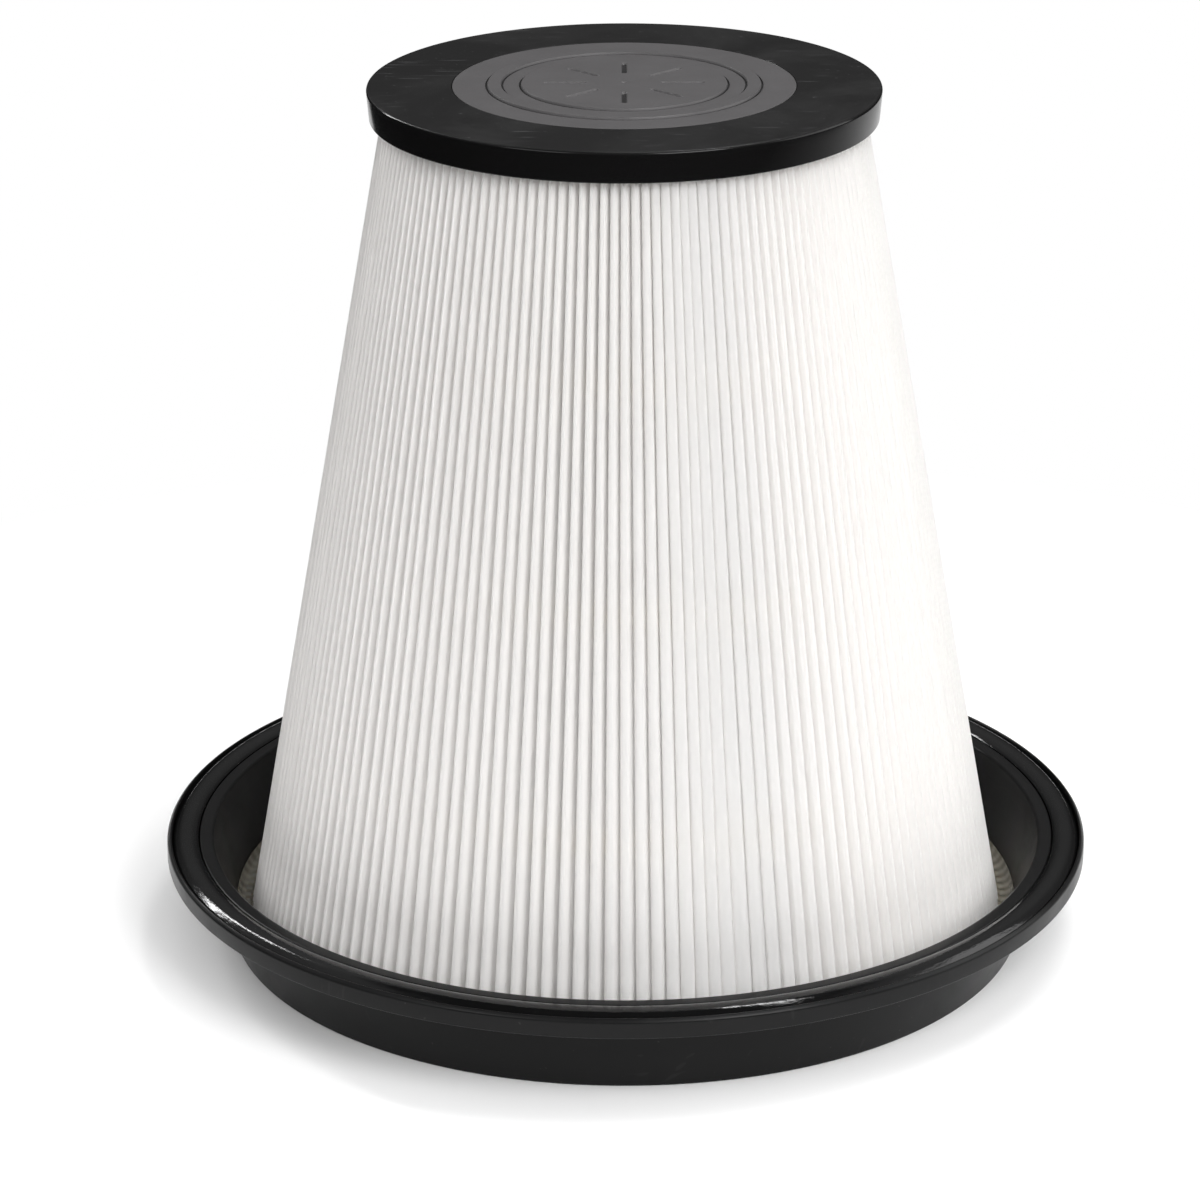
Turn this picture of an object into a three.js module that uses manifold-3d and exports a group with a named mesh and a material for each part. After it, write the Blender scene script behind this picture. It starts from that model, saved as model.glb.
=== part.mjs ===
// Conical pleated filter cartridge for a drum-type dust extractor.
// Millimetres, +Z up, front towards -Y. The origin is on the axis, in the plane
// of the flange's open (clean-air) face; the closed narrow end points along +Z.
import * as THREE from "three";
import { mergeVertices } from "three/addons/utils/BufferGeometryUtils.js";
import Module from "manifold-3d";

const wasm = await Module();
wasm.setup();

// ---- shared dimensions ----------------------------------------------------
const SEGMENTS = 60; // facets round every turned piece
const GAP = 0.3; // clearance between bonded neighbours

// flange dish
const COLLAR_IN_R = 165; // clean-air outlet
const COLLAR_OUT_R = 167.5;
const COLLAR_Z = 14;
const DISH_FLOOR_Z = 3;
const DISH_FLOOR_R = 194.8; // where the floor meets the flared wall
const DISH_BASE_R = 198.3;

// rim of the dish, with the seal's channel
const RIM_R = 230;
const RIM_Z0 = 40; // underside
const RIM_LIP_Z = 49.9; // top of the outer lip
const RIDGE_Z = 49.2; // top of the inner ridge
const CHANNEL_IN_R = 214;
const CHANNEL_OUT_R = 227.6;
const CHANNEL_Z = 44; // floor
const SEAL_Z = 51.4;

// pleated cone
const PLEATS = 150;
const CONE_R0 = 190.4; // radius over the outer folds, carried down to z = 0
const CONE_SLOPE = 0.1798; // radius lost per millimetre of height
const PLEAT_DEPTH = 14; // outer fold to inner fold
const PLEAT_WALL = 3.2; // the sheet's wall measured along the radius
const POTTING_Z = 5.5; // resin surface under the pleats and core
const PACK_Z0 = POTTING_Z + GAP;
const PACK_Z1 = 421;

// spacer beads: depths are measured inwards from the outer folds
const BEAD_OUT_DEPTH = PLEAT_DEPTH + GAP + 0.4;
const BEAD_IN_DEPTH = PLEAT_DEPTH + GAP + 2;
const BEAD_HEIGHT = 5;
const BEADS = [
  { name: "spacer_bead_lower", z: 108 },
  { name: "spacer_bead_middle", z: 214 },
  { name: "spacer_bead_upper", z: 320 },
];

// end cap
const CAP_R = 122.7;
const SKIRT_R = 121.4; // at the skirt's lower edge
const SKIRT_IN_R = SKIRT_R - 2.7;
const CAP_Z0 = 415;
const CAP_Z1 = 430;
const ROOF_Z = CAP_Z1 - 6; // underside of the cap's roof
const DISC_R = 81.7;
const DISC_SEAT_Z = 426.8;

const coneR = (z) => CONE_R0 - CONE_SLOPE * z;

// Angle reached after a number of pleat pitches, from the front towards +X.
const pleatAngle = (pitches) => (pitches / PLEATS) * Math.PI * 2 - Math.PI / 2;

// ---- materials ------------------------------------------------------------
const DISH = { color: 0x161617, roughness: 0.45 };
const SEAL = { color: 0x0d0d0e, roughness: 0.25 };
const RESIN = { color: 0x7d7a6a, roughness: 0.35 };
const PLEATED_SHEET = { color: 0xe6e4e0, roughness: 0.9 };
const SEAM_GLUE = { color: 0xe9e7dd, roughness: 0.6 };
const BEAD = { color: 0xe8dcae, roughness: 0.4 };
const CORE_METAL = { color: 0x9aa0a4, roughness: 0.4, metalness: 0.9 };
const CAP = { color: 0x1b1b1c, roughness: 0.35 };
const GREY_DISC = { color: 0x6c6c6f, roughness: 0.5 };

// ---- helpers --------------------------------------------------------------
// Keeps position only, joins shared vertices and turns the faces outwards.
function closed(geometry) {
  geometry.deleteAttribute("normal");
  geometry.deleteAttribute("uv");
  const merged = mergeVertices(geometry, 1e-3);
  const vertProperties = new Float32Array(merged.attributes.position.array);
  const triVerts = new Uint32Array(merged.index.array);
  const build = () =>
    new wasm.Manifold(new wasm.Mesh({ numProp: 3, vertProperties, triVerts }));

  const solid = build();
  if (solid.volume() >= 0) return solid;
  for (let i = 0; i < triVerts.length; i += 3) {
    [triVerts[i + 1], triVerts[i + 2]] = [triVerts[i + 2], triVerts[i + 1]];
  }
  return build();
}

function geometryOf(solid) {
  const mesh = solid.getMesh();
  const geometry = new THREE.BufferGeometry();
  const positions = new Float32Array(mesh.vertProperties);
  geometry.setAttribute("position", new THREE.BufferAttribute(positions, 3));
  geometry.setIndex(new THREE.BufferAttribute(new Uint32Array(mesh.triVerts), 1));
  geometry.computeVertexNormals();
  return geometry;
}

// Solid turned about Z from a [radius, z] profile. A profile that starts and
// ends on the axis is left open there; any other is closed into a ring.
function turned(profile) {
  const points = profile.map(([radius, z]) => new THREE.Vector2(radius, z));
  const onAxis = profile[0][0] === 0;
  if (!onAxis) points.push(points[0].clone());
  return closed(new THREE.LatheGeometry(points, SEGMENTS).rotateX(Math.PI / 2));
}

// ---- flange dish: collar, floor, flared wall, web, outer lip, inner ridge --
function flangeDish() {
  // [radius, z]
  return turned([
    // underside and outside of the flared wall
    [COLLAR_IN_R, 0],
    [DISH_BASE_R - 1, 0],
    [DISH_BASE_R, 0.8],
    [204, 27],
    [206.5, RIM_Z0 - 2],
    [209, RIM_Z0],
    // rim and outer lip
    [RIM_R - 0.5, RIM_Z0],
    [RIM_R, RIM_Z0 + 0.5],
    [RIM_R, 48],
    [229.3, 49.4],
    [228.4, RIM_LIP_Z],
    [CHANNEL_OUT_R, RIM_LIP_Z - 0.4],
    // seal channel and inner ridge
    [CHANNEL_OUT_R, CHANNEL_Z],
    [CHANNEL_IN_R, CHANNEL_Z],
    [213.8, 48.4],
    [212.9, RIDGE_Z],
    [208.6, RIDGE_Z],
    [206.8, 47.6],
    // inside of the flared wall
    [204.6, 40],
    [200.2, 27],
    [196.5, 15],
    [DISH_FLOOR_R, DISH_FLOOR_Z],
    // floor and collar
    [COLLAR_OUT_R, DISH_FLOOR_Z],
    [COLLAR_OUT_R, COLLAR_Z - 0.6],
    [COLLAR_OUT_R - 0.6, COLLAR_Z],
    [COLLAR_IN_R, COLLAR_Z],
  ]);
}

// ---- elastomer seal in the rim's channel ----------------------------------
function rimSeal() {
  const inner = CHANNEL_IN_R + GAP;
  const outer = CHANNEL_OUT_R - GAP;
  const shoulderZ = SEAL_Z - 0.5;
  return turned([
    [inner, CHANNEL_Z + GAP],
    [outer, CHANNEL_Z + GAP],
    [outer, 49.9],
    [outer - 1, shoulderZ],
    [223.5, SEAL_Z],
    [218.5, SEAL_Z],
    [215.7, shoulderZ],
    [inner, 49.6],
  ]);
}

// ---- resin in the dish, rising outside the pleats up the flared wall ------
function basePotting() {
  const inner = COLLAR_OUT_R + GAP + 0.2;
  const floorZ = DISH_FLOOR_Z + GAP;
  const foldGap = 0.5; // radial clearance outside the outer folds
  const foldTopZ = 9.6; // resin surface beside the outer folds
  return turned([
    [inner, floorZ],
    [DISH_FLOOR_R - 0.35, floorZ],
    [196, 14.2],
    [195.3, 13.2],
    [194, 11.2],
    [192.6, 10],
    [coneR(foldTopZ) + foldGap, foldTopZ],
    [coneR(POTTING_Z) + foldGap, POTTING_Z],
    [inner, POTTING_Z],
  ]);
}

// ---- pleated cone ---------------------------------------------------------
// Zigzag ring that starts with an outer fold at the front.
function pleatRing(outer, inner) {
  const points = [];
  const addPoint = (radius, angle) =>
    points.push(new THREE.Vector2(radius * Math.cos(angle), radius * Math.sin(angle)));
  for (let i = 0; i < PLEATS; i++) {
    addPoint(outer, pleatAngle(i));
    addPoint(inner, pleatAngle(i + 0.5));
  }
  return points;
}

// The folded ring is extruded at its size at z = 0, then each level is drawn in
// towards the axis, so every fold keeps its depth up the cone.
function pleatPack() {
  const shape = new THREE.Shape(
    pleatRing(CONE_R0, CONE_R0 - PLEAT_DEPTH + PLEAT_WALL),
  );
  shape.holes.push(
    new THREE.Path(pleatRing(CONE_R0 - PLEAT_WALL, CONE_R0 - PLEAT_DEPTH)),
  );
  const geometry = new THREE.ExtrudeGeometry(shape, {
    depth: PACK_Z1 - PACK_Z0,
    steps: 1,
    bevelEnabled: false,
    curveSegments: 1,
  });
  geometry.translate(0, 0, PACK_Z0);

  const position = geometry.attributes.position;
  for (let i = 0; i < position.count; i++) {
    const x = position.getX(i);
    const y = position.getY(i);
    const radius = Math.hypot(x, y);
    const scale = (radius - CONE_SLOPE * position.getZ(i)) / radius;
    position.setXY(i, x * scale, y * scale);
  }
  return closed(geometry);
}

// ---- glue bead that closes the sheet, in the valley between two folds -----
function packSeamStrip() {
  const pitchesFromFront = 4.5; // to the right of the front line
  const thickness = 1;
  const topDepth = 2.5; // below the outer folds
  const depth = 4.5;
  const z0 = 12;
  const z1 = 411;

  const strip = new THREE.BoxGeometry(depth, thickness, z1 - z0);
  strip.translate(-depth / 2 - topDepth, 0, (z0 + z1) / 2);
  // Lean the strip along the cone.
  const position = strip.attributes.position;
  for (let i = 0; i < position.count; i++) {
    position.setX(i, position.getX(i) + coneR(position.getZ(i)));
  }
  strip.rotateZ(pleatAngle(pitchesFromFront));
  return closed(strip);
}

// ---- spacer bead between the inner folds and the core ---------------------
function spacerBead(z) {
  const z0 = z - BEAD_HEIGHT / 2;
  const z1 = z + BEAD_HEIGHT / 2;
  return turned([
    [coneR(z0) - BEAD_IN_DEPTH, z0],
    [coneR(z0) - BEAD_OUT_DEPTH, z0],
    [coneR(z1) - BEAD_OUT_DEPTH, z1],
    [coneR(z1) - BEAD_IN_DEPTH, z1],
  ]);
}

// ---- perforated support core ----------------------------------------------
function supportCore() {
  const wall = 0.8;
  const beadGap = 0.6;
  const z0 = PACK_Z0;
  const z1 = 420.5;
  const outerR = (z) => coneR(z) - BEAD_IN_DEPTH - beadGap;
  let core = turned([
    [outerR(z0) - wall, z0],
    [outerR(z0), z0],
    [outerR(z1), z1],
    [outerR(z1) - wall, z1],
  ]);

  const rows = 4;
  const windowsRound = 20;
  const openShare = 0.66; // window width over window pitch, at the window's top
  const margin = 14; // solid band at each end
  const bar = 12; // solid band between rows
  const cutterDepth = 60; // radial
  const rowPitch = (z1 - z0 - 2 * margin + bar) / rows;
  const height = rowPitch - bar;
  for (let row = 0; row < rows; row++) {
    const bottom = z0 + margin + row * rowPitch;
    const middle = bottom + height / 2;
    const width = ((2 * Math.PI * outerR(bottom + height)) / windowsRound) * openShare;
    for (let i = 0; i < windowsRound; i++) {
      const cutter = new THREE.BoxGeometry(cutterDepth, width, height);
      cutter.translate(outerR(middle), 0, middle);
      cutter.rotateZ(((i + 0.5) / windowsRound) * Math.PI * 2);
      core = core.subtract(closed(cutter));
    }
  }
  return core;
}

// ---- resin in the end cap, over and around the top of the pleats ----------
function capPotting() {
  const inner = 80;
  const outer = SKIRT_IN_R - GAP;
  const foldGap = 0.6; // radial clearance outside the outer folds
  const lowerZ = CAP_Z0 + 2;
  return turned([
    [inner, PACK_Z1 + GAP],
    [coneR(PACK_Z1) + foldGap, PACK_Z1 + GAP],
    [coneR(lowerZ) + foldGap, lowerZ],
    [outer, lowerZ],
    [outer, ROOF_Z - GAP],
    [inner, ROOF_Z - GAP],
  ]);
}

// ---- end cap, with a round recess for the disc ----------------------------
function endCap() {
  const edge = 1.5; // rounding of the top edge
  const lowerEdge = 0.4; // chamfer of the skirt
  return turned([
    [0, ROOF_Z],
    [SKIRT_IN_R, ROOF_Z],
    [SKIRT_IN_R, CAP_Z0],
    [SKIRT_R - lowerEdge, CAP_Z0],
    [SKIRT_R, CAP_Z0 + lowerEdge],
    [CAP_R, CAP_Z1 - edge],
    [CAP_R - edge * 0.3, CAP_Z1 - edge * 0.3],
    [CAP_R - edge, CAP_Z1],
    [DISC_R + GAP, CAP_Z1],
    [DISC_R + GAP, DISC_SEAT_Z],
    [0, DISC_SEAT_Z],
  ]);
}

// ---- grey disc let into the cap, with a raised ring and centre ------------
function endDisc() {
  const ringOutR = 65;
  const ringInR = 58.5;
  const centreR = 49;
  const draft = 0.3; // inward lean of the raised edges
  const raisedZ = CAP_Z1 + 0.9;
  return turned([
    [0, DISC_SEAT_Z + GAP],
    [DISC_R, DISC_SEAT_Z + GAP],
    [DISC_R, CAP_Z1],
    [ringOutR, CAP_Z1],
    [ringOutR - draft, raisedZ],
    [ringInR + draft, raisedZ],
    [ringInR, CAP_Z1],
    [centreR, CAP_Z1],
    [centreR - draft, raisedZ],
    [0, raisedZ],
  ]);
}

// ---- assembly -------------------------------------------------------------
const group = new THREE.Group();
function add(name, solid, material) {
  const mesh = new THREE.Mesh(
    geometryOf(solid),
    new THREE.MeshStandardMaterial(material),
  );
  mesh.name = name;
  group.add(mesh);
}

add("flange_dish", flangeDish(), DISH);
add("rim_seal", rimSeal(), SEAL);
add("base_potting", basePotting(), RESIN);
add("pleat_pack", pleatPack(), PLEATED_SHEET);
add("pack_seam_strip", packSeamStrip(), SEAM_GLUE);
for (const { name, z } of BEADS) add(name, spacerBead(z), BEAD);
add("support_core", supportCore(), CORE_METAL);
add("cap_potting", capPotting(), RESIN);
add("end_cap", endCap(), CAP);
add("end_disc", endDisc(), GREY_DISC);

export default group;
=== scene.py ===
"""A conical pleated air filter standing upright, its axis on z and its flange dish on z = 0.

The cone narrows upwards from the dish, through the folded sheet, to a closed cap with a disc
set in its top. The front is -y and the right is +x. The rim seal lies in the dish's flange, and
a perforated steel core stands inside the folds. Lengths are in mm unless a comment says metres;
they become metres as a mesh is made.
"""

import math
from types import SimpleNamespace

import bmesh
import bpy
import numpy as np
from mathutils import Matrix, Vector


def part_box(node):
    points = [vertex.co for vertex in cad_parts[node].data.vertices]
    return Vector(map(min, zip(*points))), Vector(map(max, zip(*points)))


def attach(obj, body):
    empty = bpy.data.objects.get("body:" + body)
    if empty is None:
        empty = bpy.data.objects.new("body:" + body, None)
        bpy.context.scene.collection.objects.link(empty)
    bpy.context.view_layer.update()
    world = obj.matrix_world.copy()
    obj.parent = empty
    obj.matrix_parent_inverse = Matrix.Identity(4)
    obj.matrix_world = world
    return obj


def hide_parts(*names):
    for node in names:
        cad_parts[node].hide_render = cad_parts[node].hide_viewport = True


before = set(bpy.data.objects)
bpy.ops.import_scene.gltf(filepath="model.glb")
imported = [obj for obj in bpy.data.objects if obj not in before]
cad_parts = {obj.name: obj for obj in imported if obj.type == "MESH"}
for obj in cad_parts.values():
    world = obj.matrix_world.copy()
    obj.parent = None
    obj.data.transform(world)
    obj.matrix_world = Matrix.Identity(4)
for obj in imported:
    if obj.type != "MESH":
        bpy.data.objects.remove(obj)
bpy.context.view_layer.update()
ROOT = "root"
MM = 0.001
TAU = 2 * math.pi

scene = bpy.context.scene
scene.view_settings.view_transform = "Standard"
scene.view_settings.look = "None"


# ------------------------------------------------------------ driving sizes
def box_mm(node):
    low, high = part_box(node)
    return [c * 1000 for c in low], [c * 1000 for c in high]


CAP_LOW, CAP_HIGH = box_mm("end_cap")
DISC_LOW, DISC_HIGH = box_mm("end_disc")
PACK_LOW, PACK_HIGH = box_mm("pleat_pack")
CORE_LOW, CORE_HIGH = box_mm("support_core")

CAP_RADIUS = CAP_HIGH[0]
CAP_BOTTOM, CAP_TOP = CAP_LOW[2], CAP_HIGH[2]
PACK_BOTTOM, PACK_TOP = PACK_LOW[2], PACK_HIGH[2]

PLEATS = 150
PLEAT_DEPTH = 14.0
CONE_RADIUS = 190.4  # of the outer folds, at z = 0
CONE_SLOPE = 0.1798  # radius lost per unit of height
SEAM_FOLD = 4  # the seam's glue stands in the valley after this fold


def cone_radius(z):
    return CONE_RADIUS - CONE_SLOPE * z


# --------------------------------------------------------------- mesh tools
def add_object(name, mesh):
    ob = bpy.data.objects.new(name, mesh)
    scene.collection.objects.link(ob)
    return ob


def finish_mesh(mesh, sharp_angle):
    """Welds the mesh, turns its faces outwards and smooths all but its sharp edges."""
    bm = bmesh.new()
    bm.from_mesh(mesh)
    bmesh.ops.remove_doubles(bm, verts=bm.verts, dist=1e-7)
    bmesh.ops.recalc_face_normals(bm, faces=bm.faces)
    if bm.calc_volume(signed=True) < 0:
        bmesh.ops.reverse_faces(bm, faces=bm.faces)
    bm.to_mesh(mesh)
    bm.free()
    for polygon in mesh.polygons:
        polygon.use_smooth = True
    mesh.set_sharp_from_angle(angle=math.radians(sharp_angle))


def mesh_object(name, verts, faces, sharp_angle):
    """Makes an object from faces with any number of corners."""
    mesh = bpy.data.meshes.new(name)
    mesh.from_pydata([tuple(v) for v in verts], [], faces)
    mesh.validate()
    mesh.update()
    ob = add_object(name, mesh)
    finish_mesh(mesh, sharp_angle)
    return ob


def grid_object(name, verts, quads, sharp_angle):
    """Makes an object from arrays of (n, 3) verts and (m, 4) quads: quicker than from_pydata."""
    verts = np.asarray(verts, np.float32)
    quads = np.asarray(quads, np.int32)
    mesh = bpy.data.meshes.new(name)
    mesh.vertices.add(len(verts))
    mesh.vertices.foreach_set("co", verts.ravel())
    mesh.loops.add(quads.size)
    mesh.loops.foreach_set("vertex_index", quads.ravel())
    mesh.polygons.add(len(quads))
    mesh.polygons.foreach_set("loop_start", np.arange(0, quads.size, 4, dtype=np.int32))
    mesh.update(calc_edges=True)
    mesh.validate()
    ob = add_object(name, mesh)
    finish_mesh(mesh, sharp_angle)
    return ob


def lattice_quads(rows, columns, close_rows=False, flip=False):
    """Quads between rows of points, each row a closed ring. close_rows joins last to first."""
    bands = rows if close_rows else rows - 1
    i, j = np.meshgrid(np.arange(bands), np.arange(columns), indexing="ij")
    next_i, next_j = (i + 1) % rows, (j + 1) % columns
    corners = [
        i * columns + j,
        i * columns + next_j,
        next_i * columns + next_j,
        next_i * columns + j,
    ]
    quads = np.stack(corners, -1).reshape(-1, 4)
    return quads[:, [0, 3, 2, 1]] if flip else quads


def rounded(points, closed=True, steps=5):
    """Turns each corner of a polyline of (r, z, corner radius) into an arc."""
    outline = []
    count = len(points)
    for i, (r, z, radius) in enumerate(points):
        if radius <= 0 or (not closed and i in (0, count - 1)):
            outline.append((r, z))
            continue
        corner = np.array([r, z], float)
        back = np.array(points[i - 1][:2], float) - corner
        ahead = np.array(points[(i + 1) % count][:2], float) - corner
        back_length, ahead_length = np.linalg.norm(back), np.linalg.norm(ahead)
        back, ahead = back / back_length, ahead / ahead_length
        angle = math.acos(max(-1, min(1, float(back @ ahead))))
        if angle > math.pi - 0.02:
            outline.append((r, z))
            continue
        # the arc takes no more than about half of either side
        trim = min(radius / math.tan(angle / 2), back_length * 0.49, ahead_length * 0.49)
        radius = trim * math.tan(angle / 2)
        bisector = (back + ahead) / np.linalg.norm(back + ahead)
        centre = corner + bisector * radius / math.sin(angle / 2)
        start = corner + back * trim - centre
        end = corner + ahead * trim - centre
        sweep = math.atan2(start[0] * end[1] - start[1] * end[0], start @ end)
        pieces = max(2, int(steps * abs(sweep) / 1.2) + 1)
        for k in range(pieces + 1):
            turn = sweep * k / pieces
            cosine, sine = math.cos(turn), math.sin(turn)
            outline.append(
                (
                    centre[0] + start[0] * cosine - start[1] * sine,
                    centre[1] + start[0] * sine + start[1] * cosine,
                )
            )
    return outline


def revolve(profile, segments, wobble):
    """Points in metres, row by row. wobble(r, z, theta) returns moved (r, z) arrays."""
    profile = np.array(profile, float)
    angles = np.arange(segments) / segments * TAU
    r = np.repeat(profile[:, 0][:, None], segments, 1)
    z = np.repeat(profile[:, 1][:, None], segments, 1)
    theta = np.repeat(angles[None, :], len(profile), 0)
    if wobble:
        r, z = wobble(r, z, theta)
    return np.stack([r * np.cos(theta), r * np.sin(theta), z], -1).reshape(-1, 3) * MM


def turned_ring(name, profile, segments, wobble=None):
    """Revolves a closed (r, z) profile."""
    verts = revolve(profile, segments, wobble)
    quads = lattice_quads(len(profile), segments, close_rows=True)
    return grid_object(name, verts, quads, sharp_angle=30.0)


def turned_solid(name, profile, segments, wobble):
    """Revolves a profile that starts and ends near the axis, closing each end with a fan."""
    verts = revolve(profile, segments, wobble)
    faces = lattice_quads(len(profile), segments).tolist()
    first_centre, last_centre = len(verts), len(verts) + 1
    centres = [[0, 0, profile[0][1] * MM], [0, 0, profile[-1][1] * MM]]
    last_row = (len(profile) - 1) * segments
    for j in range(segments):
        next_j = (j + 1) % segments
        faces.append((first_centre, next_j, j))
        faces.append((last_centre, last_row + j, last_row + next_j))
    return mesh_object(name, np.concatenate([verts, centres]), faces, sharp_angle=30.0)


def smooth_noise(theta, seed, harmonics, amplitude):
    """A seeded periodic wave of the angle, made of the given harmonics."""
    rng = np.random.default_rng(seed)
    wave = np.zeros_like(theta)
    for harmonic in harmonics:
        wave += rng.normal() * np.cos(harmonic * theta + rng.uniform(0, TAU))
    return wave * amplitude / math.sqrt(len(harmonics))


# ----------------------------------------------------------- material tools
class Graph:
    """Writes a node tree in short lines. Any value may be a number or another node's socket."""

    def __init__(self, owner, output_kind="ShaderNodeOutputMaterial"):
        owner.use_nodes = True
        self.tree = owner.node_tree
        self.tree.nodes.clear()
        self.output = self.tree.nodes.new(output_kind)

    def put(self, socket, value):
        if hasattr(value, "is_output"):
            self.tree.links.new(value, socket)
        else:
            socket.default_value = value

    def node(self, kind, inputs=None, **settings):
        node = self.tree.nodes.new(kind)
        for key, value in settings.items():
            setattr(node, key, value)
        for key, value in (inputs or {}).items():
            self.put(node.inputs[key], value)
        return node

    def surface(self, socket):
        self.put(self.output.inputs[0], socket)

    def math(self, operation, a, b=0.0):
        return self.node("ShaderNodeMath", {0: a, 1: b}, operation=operation).outputs[0]

    def add(self, a, b):
        return self.math("ADD", a, b)

    def subtract(self, a, b):
        return self.math("SUBTRACT", a, b)

    def multiply(self, a, b):
        return self.math("MULTIPLY", a, b)

    def span(self, value, start, reach):
        """start + reach * value"""
        return self.add(start, self.multiply(value, reach))

    def mix(self, factor, a, b):
        return self.node("ShaderNodeMix", {0: factor, 6: a, 7: b}, data_type="RGBA").outputs[2]

    def mix_shader(self, factor, a, b):
        return self.node("ShaderNodeMixShader", {0: factor, 1: a, 2: b}).outputs[0]

    def ramp(self, factor, start, end, low=0.0, high=1.0):
        """Grey going from low at start to high at end."""
        node = self.node("ShaderNodeValToRGB", {0: factor})
        stops = ((start, low), (end, high))
        for element, (position, grey) in zip(node.color_ramp.elements, stops):
            element.position = position
            element.color = (grey, grey, grey, 1)
        return node.outputs[0]

    def noise(self, vector, scale, detail=3.0, rough=0.55, distortion=0.0):
        inputs = {
            "Vector": vector,
            "Scale": scale,
            "Detail": detail,
            "Roughness": rough,
            "Distortion": distortion,
        }
        return self.node("ShaderNodeTexNoise", inputs).outputs["Fac"]

    def mapping(self, vector, scale, rotation, location):
        inputs = {
            "Vector": vector,
            "Scale": scale,
            "Rotation": rotation,
            "Location": location,
        }
        return self.node("ShaderNodeMapping", inputs).outputs[0]

    def bump(self, height, distance, strength, normal=None):
        """distance is in metres."""
        inputs = {"Strength": strength, "Distance": distance, "Height": height}
        if normal is not None:
            inputs["Normal"] = normal
        return self.node("ShaderNodeBump", inputs).outputs[0]

    def coords(self):
        return self.node("ShaderNodeTexCoord").outputs["Object"]

    def split(self, vector):
        return self.node("ShaderNodeSeparateXYZ", {0: vector}).outputs

    def turn(self, x, y):
        """Angle about z, in turns."""
        return self.math("DIVIDE", self.math("ARCTAN2", y, x), TAU)

    def radius(self, x, y):
        return self.math("SQRT", self.add(self.multiply(x, x), self.multiply(y, y)))

    def polar(self):
        """Angle in turns, radius and height, the last two in metres."""
        x, y, z = self.split(self.coords())
        return self.turn(x, y), self.radius(x, y), z

    def stretched(self, parts, scales):
        """A vector of three values, each multiplied by its own scale."""
        inputs = {i: self.multiply(*pair) for i, pair in enumerate(zip(parts, scales))}
        return self.node("ShaderNodeCombineXYZ", inputs).outputs[0]

    def principled(self, **inputs):
        """Base_Color stands for the input Base Color, and so on."""
        inputs = {key.replace("_", " "): value for key, value in inputs.items()}
        return self.node("ShaderNodeBsdfPrincipled", inputs).outputs[0]


MATERIALS = {}


def start_material(slot):
    """Adds the material of a slot and returns its graph."""
    material = bpy.data.materials.new(slot + "_look")
    MATERIALS[slot] = material
    return Graph(material)


def scratches(graph, coords, strokes, detail, rough, line, patch_scale, patch_step, patch):
    """Mask of hair scratches: stretched noise cut to thin lines, and kept only in patches.

    strokes: stretch, turn about z (radians) and shift of each set of lines.
    line, patch: the noise levels where each mask starts and is full.
    """
    mask = None
    for i, (stretch, turn, shift) in enumerate(strokes):
        vector = graph.mapping(coords, stretch, (0, 0, turn), shift)
        lines = graph.ramp(graph.noise(vector, scale=1.0, detail=detail, rough=rough), *line)
        area = graph.noise(coords, scale=patch_scale + patch_step * i, detail=2.0)
        lines = graph.multiply(lines, graph.ramp(area, *patch))
        mask = lines if mask is None else graph.math("MAXIMUM", mask, lines)
    return mask


# Shared by the three black plastic and rubber looks.
BLACK_FINISH = {"IOR": 1.48, "Coat_Weight": 0.0, "Coat_Roughness": 0.12}


def black_tone(graph, coords, broad, base, dust):
    """Near-black colour, varied by the broad noise and flecked with dust."""
    specks = graph.ramp(graph.noise(coords, scale=420.0, detail=1.0), 0.76, 0.8)
    darker = (base * 0.75, base * 0.75, base * 0.78, 1)
    lighter = (base * 1.3, base * 1.3, base * 1.32, 1)
    tone = graph.mix(broad, darker, lighter)
    return graph.mix(graph.multiply(specks, dust), tone, (0.28, 0.27, 0.26, 1))


def smudged_roughness(graph, coords, low, high):
    smudge = graph.noise(coords, scale=22.0, detail=5.0, rough=0.6, distortion=0.4)
    return graph.span(graph.ramp(smudge, 0.42, 0.7), start=low, reach=high - low)


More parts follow.
